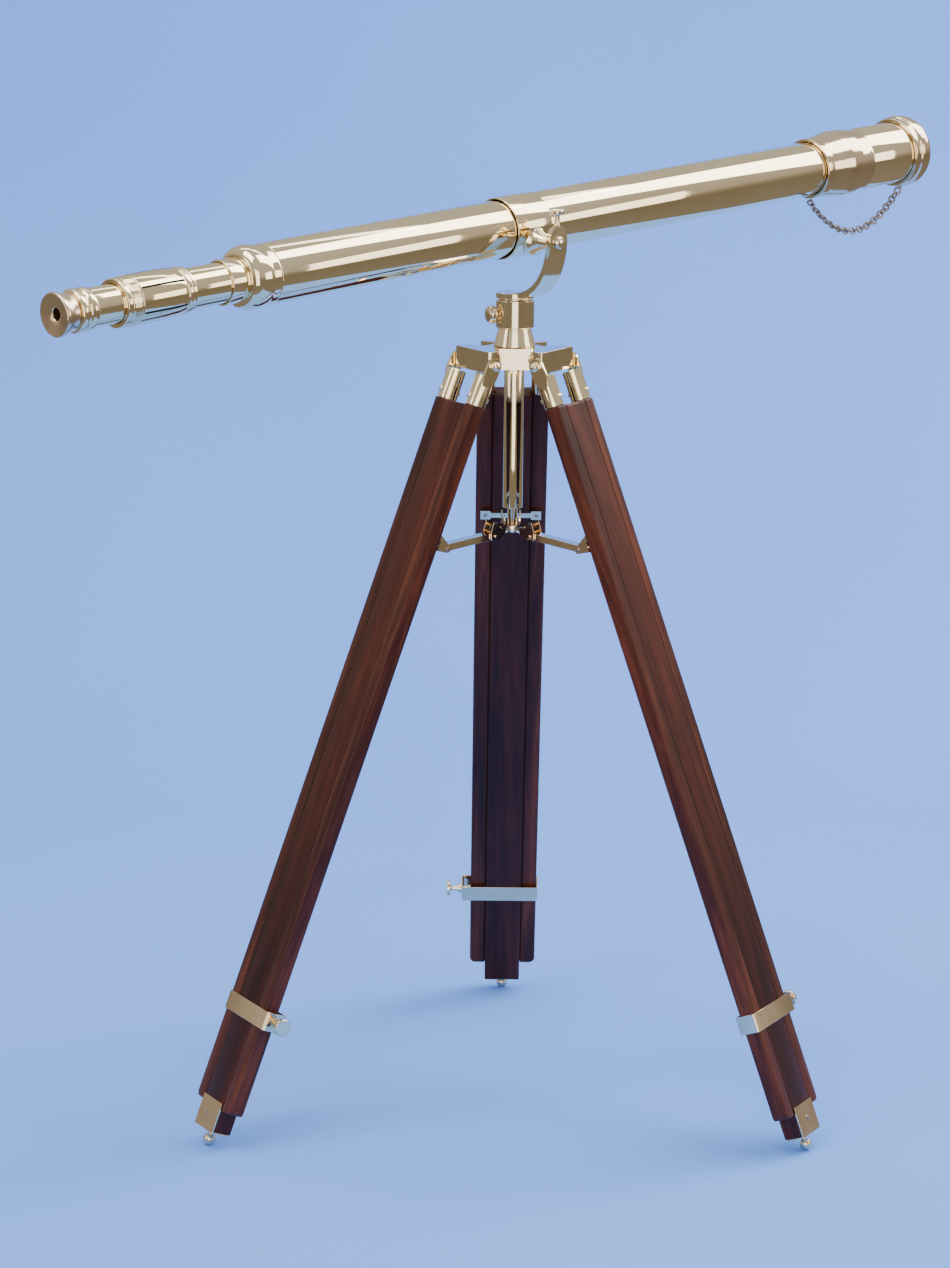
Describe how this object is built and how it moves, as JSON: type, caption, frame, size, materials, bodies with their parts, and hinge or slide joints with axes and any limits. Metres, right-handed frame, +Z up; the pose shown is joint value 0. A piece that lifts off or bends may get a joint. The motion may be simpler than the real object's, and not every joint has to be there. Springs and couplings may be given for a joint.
{
  "type": "telescope on tripod",
  "caption": "Brass refracting telescope on a swivelling C-arm yoke over a folding wooden tripod with sliding leg extensions and a spreader.",
  "frame": {"origin": "on the floor, on the tripod's centre axis", "axes": "+Z up; one leg points along +Y; the telescope's objective points at 44.2 degrees from +X towards +Y, raised 4.6 degrees"},
  "size_m": [0.9586, 0.9346, 1.0655],
  "materials": {
    "polished_brass": "polished, lacquered",
    "chain_brass": "plated, slightly tarnished",
    "mahogany": "dark red-brown stain under satin varnish",
    "lens_glass": "clear"
  },
  "bodies": {
    "head": {"head_casting": "polished_brass", "column_tube": "polished_brass", "swivel_socket": "polished_brass", "socket_cone": "polished_brass"},
    "spreader": {"hub_rod": "polished_brass", "spreader_hub": "polished_brass"},
    "yoke": {"yoke_arm": "polished_brass", "swivel_spindle": "polished_brass"},
    "swivel_knob": {"swivel_lock_knob": "polished_brass"},
    "tilt_knob": {"tilt_lock_screw": "polished_brass"},
    "telescope": {"rear_tube": "polished_brass", "front_tube": "polished_brass", "centre_collar": "polished_brass", "trunnion_post": "polished_brass", "rear_bell": "polished_brass", "draw_collar": "polished_brass", "objective_ring": "polished_brass", "objective_cell": "polished_brass", "objective_lens": "lens_glass", "cap_chain": "chain_brass"},
    "cap": {"dust_cap": "polished_brass"},
    "draw": {"draw_tube": "polished_brass", "focus_sleeve": "polished_brass"},
    "eyepiece": {"eyepiece_tube": "polished_brass", "bead_ring": "polished_brass", "eyecup": "polished_brass", "eye_lens": "lens_glass"},
    "leg_1": {"rail_1a": "mahogany", "rail_1b": "mahogany", "ferrule_1a": "polished_brass", "ferrule_1b": "polished_brass", "hinge_pin_1": "polished_brass", "bracket_1": "polished_brass", "clamp_1": "polished_brass"},
    "extension_1": {"plank_1": "mahogany", "foot_1": "polished_brass"},
    "clamp_knob_1": {"clamp_screw_1": "polished_brass"},
    "spreader_strut_1": {"strut_1": "polished_brass"},
    "leg_2": {"rail_2a": "mahogany", "rail_2b": "mahogany", "ferrule_2a": "polished_brass", "ferrule_2b": "polished_brass", "hinge_pin_2": "polished_brass", "bracket_2": "polished_brass", "clamp_2": "polished_brass"},
    "extension_2": {"plank_2": "mahogany", "foot_2": "polished_brass"},
    "clamp_knob_2": {"clamp_screw_2": "polished_brass"},
    "spreader_strut_2": {"strut_2": "polished_brass"},
    "leg_3": {"rail_3a": "mahogany", "rail_3b": "mahogany", "ferrule_3a": "polished_brass", "ferrule_3b": "polished_brass", "hinge_pin_3": "polished_brass", "bracket_3": "polished_brass", "clamp_3": "polished_brass"},
    "extension_3": {"plank_3": "mahogany", "foot_3": "polished_brass"},
    "clamp_knob_3": {"clamp_screw_3": "polished_brass"},
    "spreader_strut_3": {"strut_3": "polished_brass"}
  },
  "joints": [
    {"name": "leg_1_fold", "type": "hinge", "parent": "head", "child": "leg_1", "pos_m": [0, 0.0484, 0.8272], "axis": [-1, 0, 0], "range_deg": [0, 20]},
    {"name": "extension_1_slide", "type": "slide", "parent": "leg_1", "child": "extension_1", "axis": [0, 0.3644, -0.9312], "range_m": [0, 0.33]},
    {"name": "clamp_1_turn", "type": "hinge", "parent": "leg_1", "child": "clamp_knob_1", "pos_m": [0, 0.31529, 0.14237], "axis": [-1, 0, 0], "range_deg": [0, 360]},
    {"name": "strut_1_swing", "type": "hinge", "parent": "spreader", "child": "spreader_strut_1", "pos_m": [0, 0.026, 0.637], "axis": [1, 0, 0], "range_deg": [0, 111]},
    {"name": "leg_2_fold", "type": "hinge", "parent": "head", "child": "leg_2", "pos_m": [-0.04192, -0.0242, 0.8272], "axis": [0.5, -0.866, 0], "range_deg": [0, 20]},
    {"name": "extension_2_slide", "type": "slide", "parent": "leg_2", "child": "extension_2", "axis": [-0.3156, -0.1822, -0.9312], "range_m": [0, 0.33]},
    {"name": "clamp_2_turn", "type": "hinge", "parent": "leg_2", "child": "clamp_knob_2", "pos_m": [-0.27305, -0.15765, 0.14237], "axis": [0.5, -0.866, 0], "range_deg": [0, 360]},
    {"name": "strut_2_swing", "type": "hinge", "parent": "spreader", "child": "spreader_strut_2", "pos_m": [-0.02252, -0.013, 0.637], "axis": [-0.5, 0.866, 0], "range_deg": [0, 111]},
    {"name": "leg_3_fold", "type": "hinge", "parent": "head", "child": "leg_3", "pos_m": [0.04192, -0.0242, 0.8272], "axis": [0.5, 0.866, 0], "range_deg": [0, 20]},
    {"name": "extension_3_slide", "type": "slide", "parent": "leg_3", "child": "extension_3", "axis": [0.3156, -0.1822, -0.9312], "range_m": [0, 0.33]},
    {"name": "clamp_3_turn", "type": "hinge", "parent": "leg_3", "child": "clamp_knob_3", "pos_m": [0.27305, -0.15765, 0.14237], "axis": [0.5, 0.866, 0], "range_deg": [0, 360]},
    {"name": "strut_3_swing", "type": "hinge", "parent": "spreader", "child": "spreader_strut_3", "pos_m": [0.02252, -0.013, 0.637], "axis": [-0.5, -0.866, 0], "range_deg": [0, 111]},
    {"name": "hub_slide", "type": "slide", "parent": "head", "child": "spreader", "axis": [0, 0, -1], "range_m": [0, 0.0745]},
    {"name": "swivel_turn", "type": "hinge", "parent": "head", "child": "yoke", "pos_m": [0, 0, 0.89], "axis": [0, 0, 1], "continuous": true},
    {"name": "swivel_lock_turn", "type": "hinge", "parent": "head", "child": "swivel_knob", "pos_m": [0, 0, 0.877], "axis": [-0.9135, -0.4067, 0], "range_deg": [0, 360]},
    {"name": "tilt_turn", "type": "hinge", "parent": "yoke", "child": "telescope", "pos_m": [0, 0, 0.9575], "axis": [0.6972, -0.7169, 0], "range_deg": [-40, 35]},
    {"name": "tilt_lock_turn", "type": "hinge", "parent": "yoke", "child": "tilt_knob", "pos_m": [0.04253, -0.04373, 0.98], "axis": [0, 0, 1], "range_deg": [0, 360]},
    {"name": "draw_slide", "type": "slide", "parent": "telescope", "child": "draw", "axis": [0.7146, 0.6949, 0.0799], "range_m": [-0.06, 0.044]},
    {"name": "focus_slide", "type": "slide", "parent": "draw", "child": "eyepiece", "axis": [0.7146, 0.6949, 0.0799], "range_m": [-0.05, 0.03]},
    {"name": "cap_slide", "type": "slide", "parent": "telescope", "child": "cap", "axis": [0.7146, 0.6949, 0.0799], "range_m": [0, 0.025]}
  ],
  "couplings": [
    {"joint": "strut_1_swing", "follows": "leg_1_fold", "ratio": 5.5},
    {"joint": "leg_2_fold", "follows": "leg_1_fold", "ratio": 1},
    {"joint": "strut_2_swing", "follows": "leg_1_fold", "ratio": 5.5},
    {"joint": "leg_3_fold", "follows": "leg_1_fold", "ratio": 1},
    {"joint": "strut_3_swing", "follows": "leg_1_fold", "ratio": 5.5},
    {"joint": "hub_slide", "follows": "leg_1_fold", "m_per_rad": 0.21199}
  ]
}
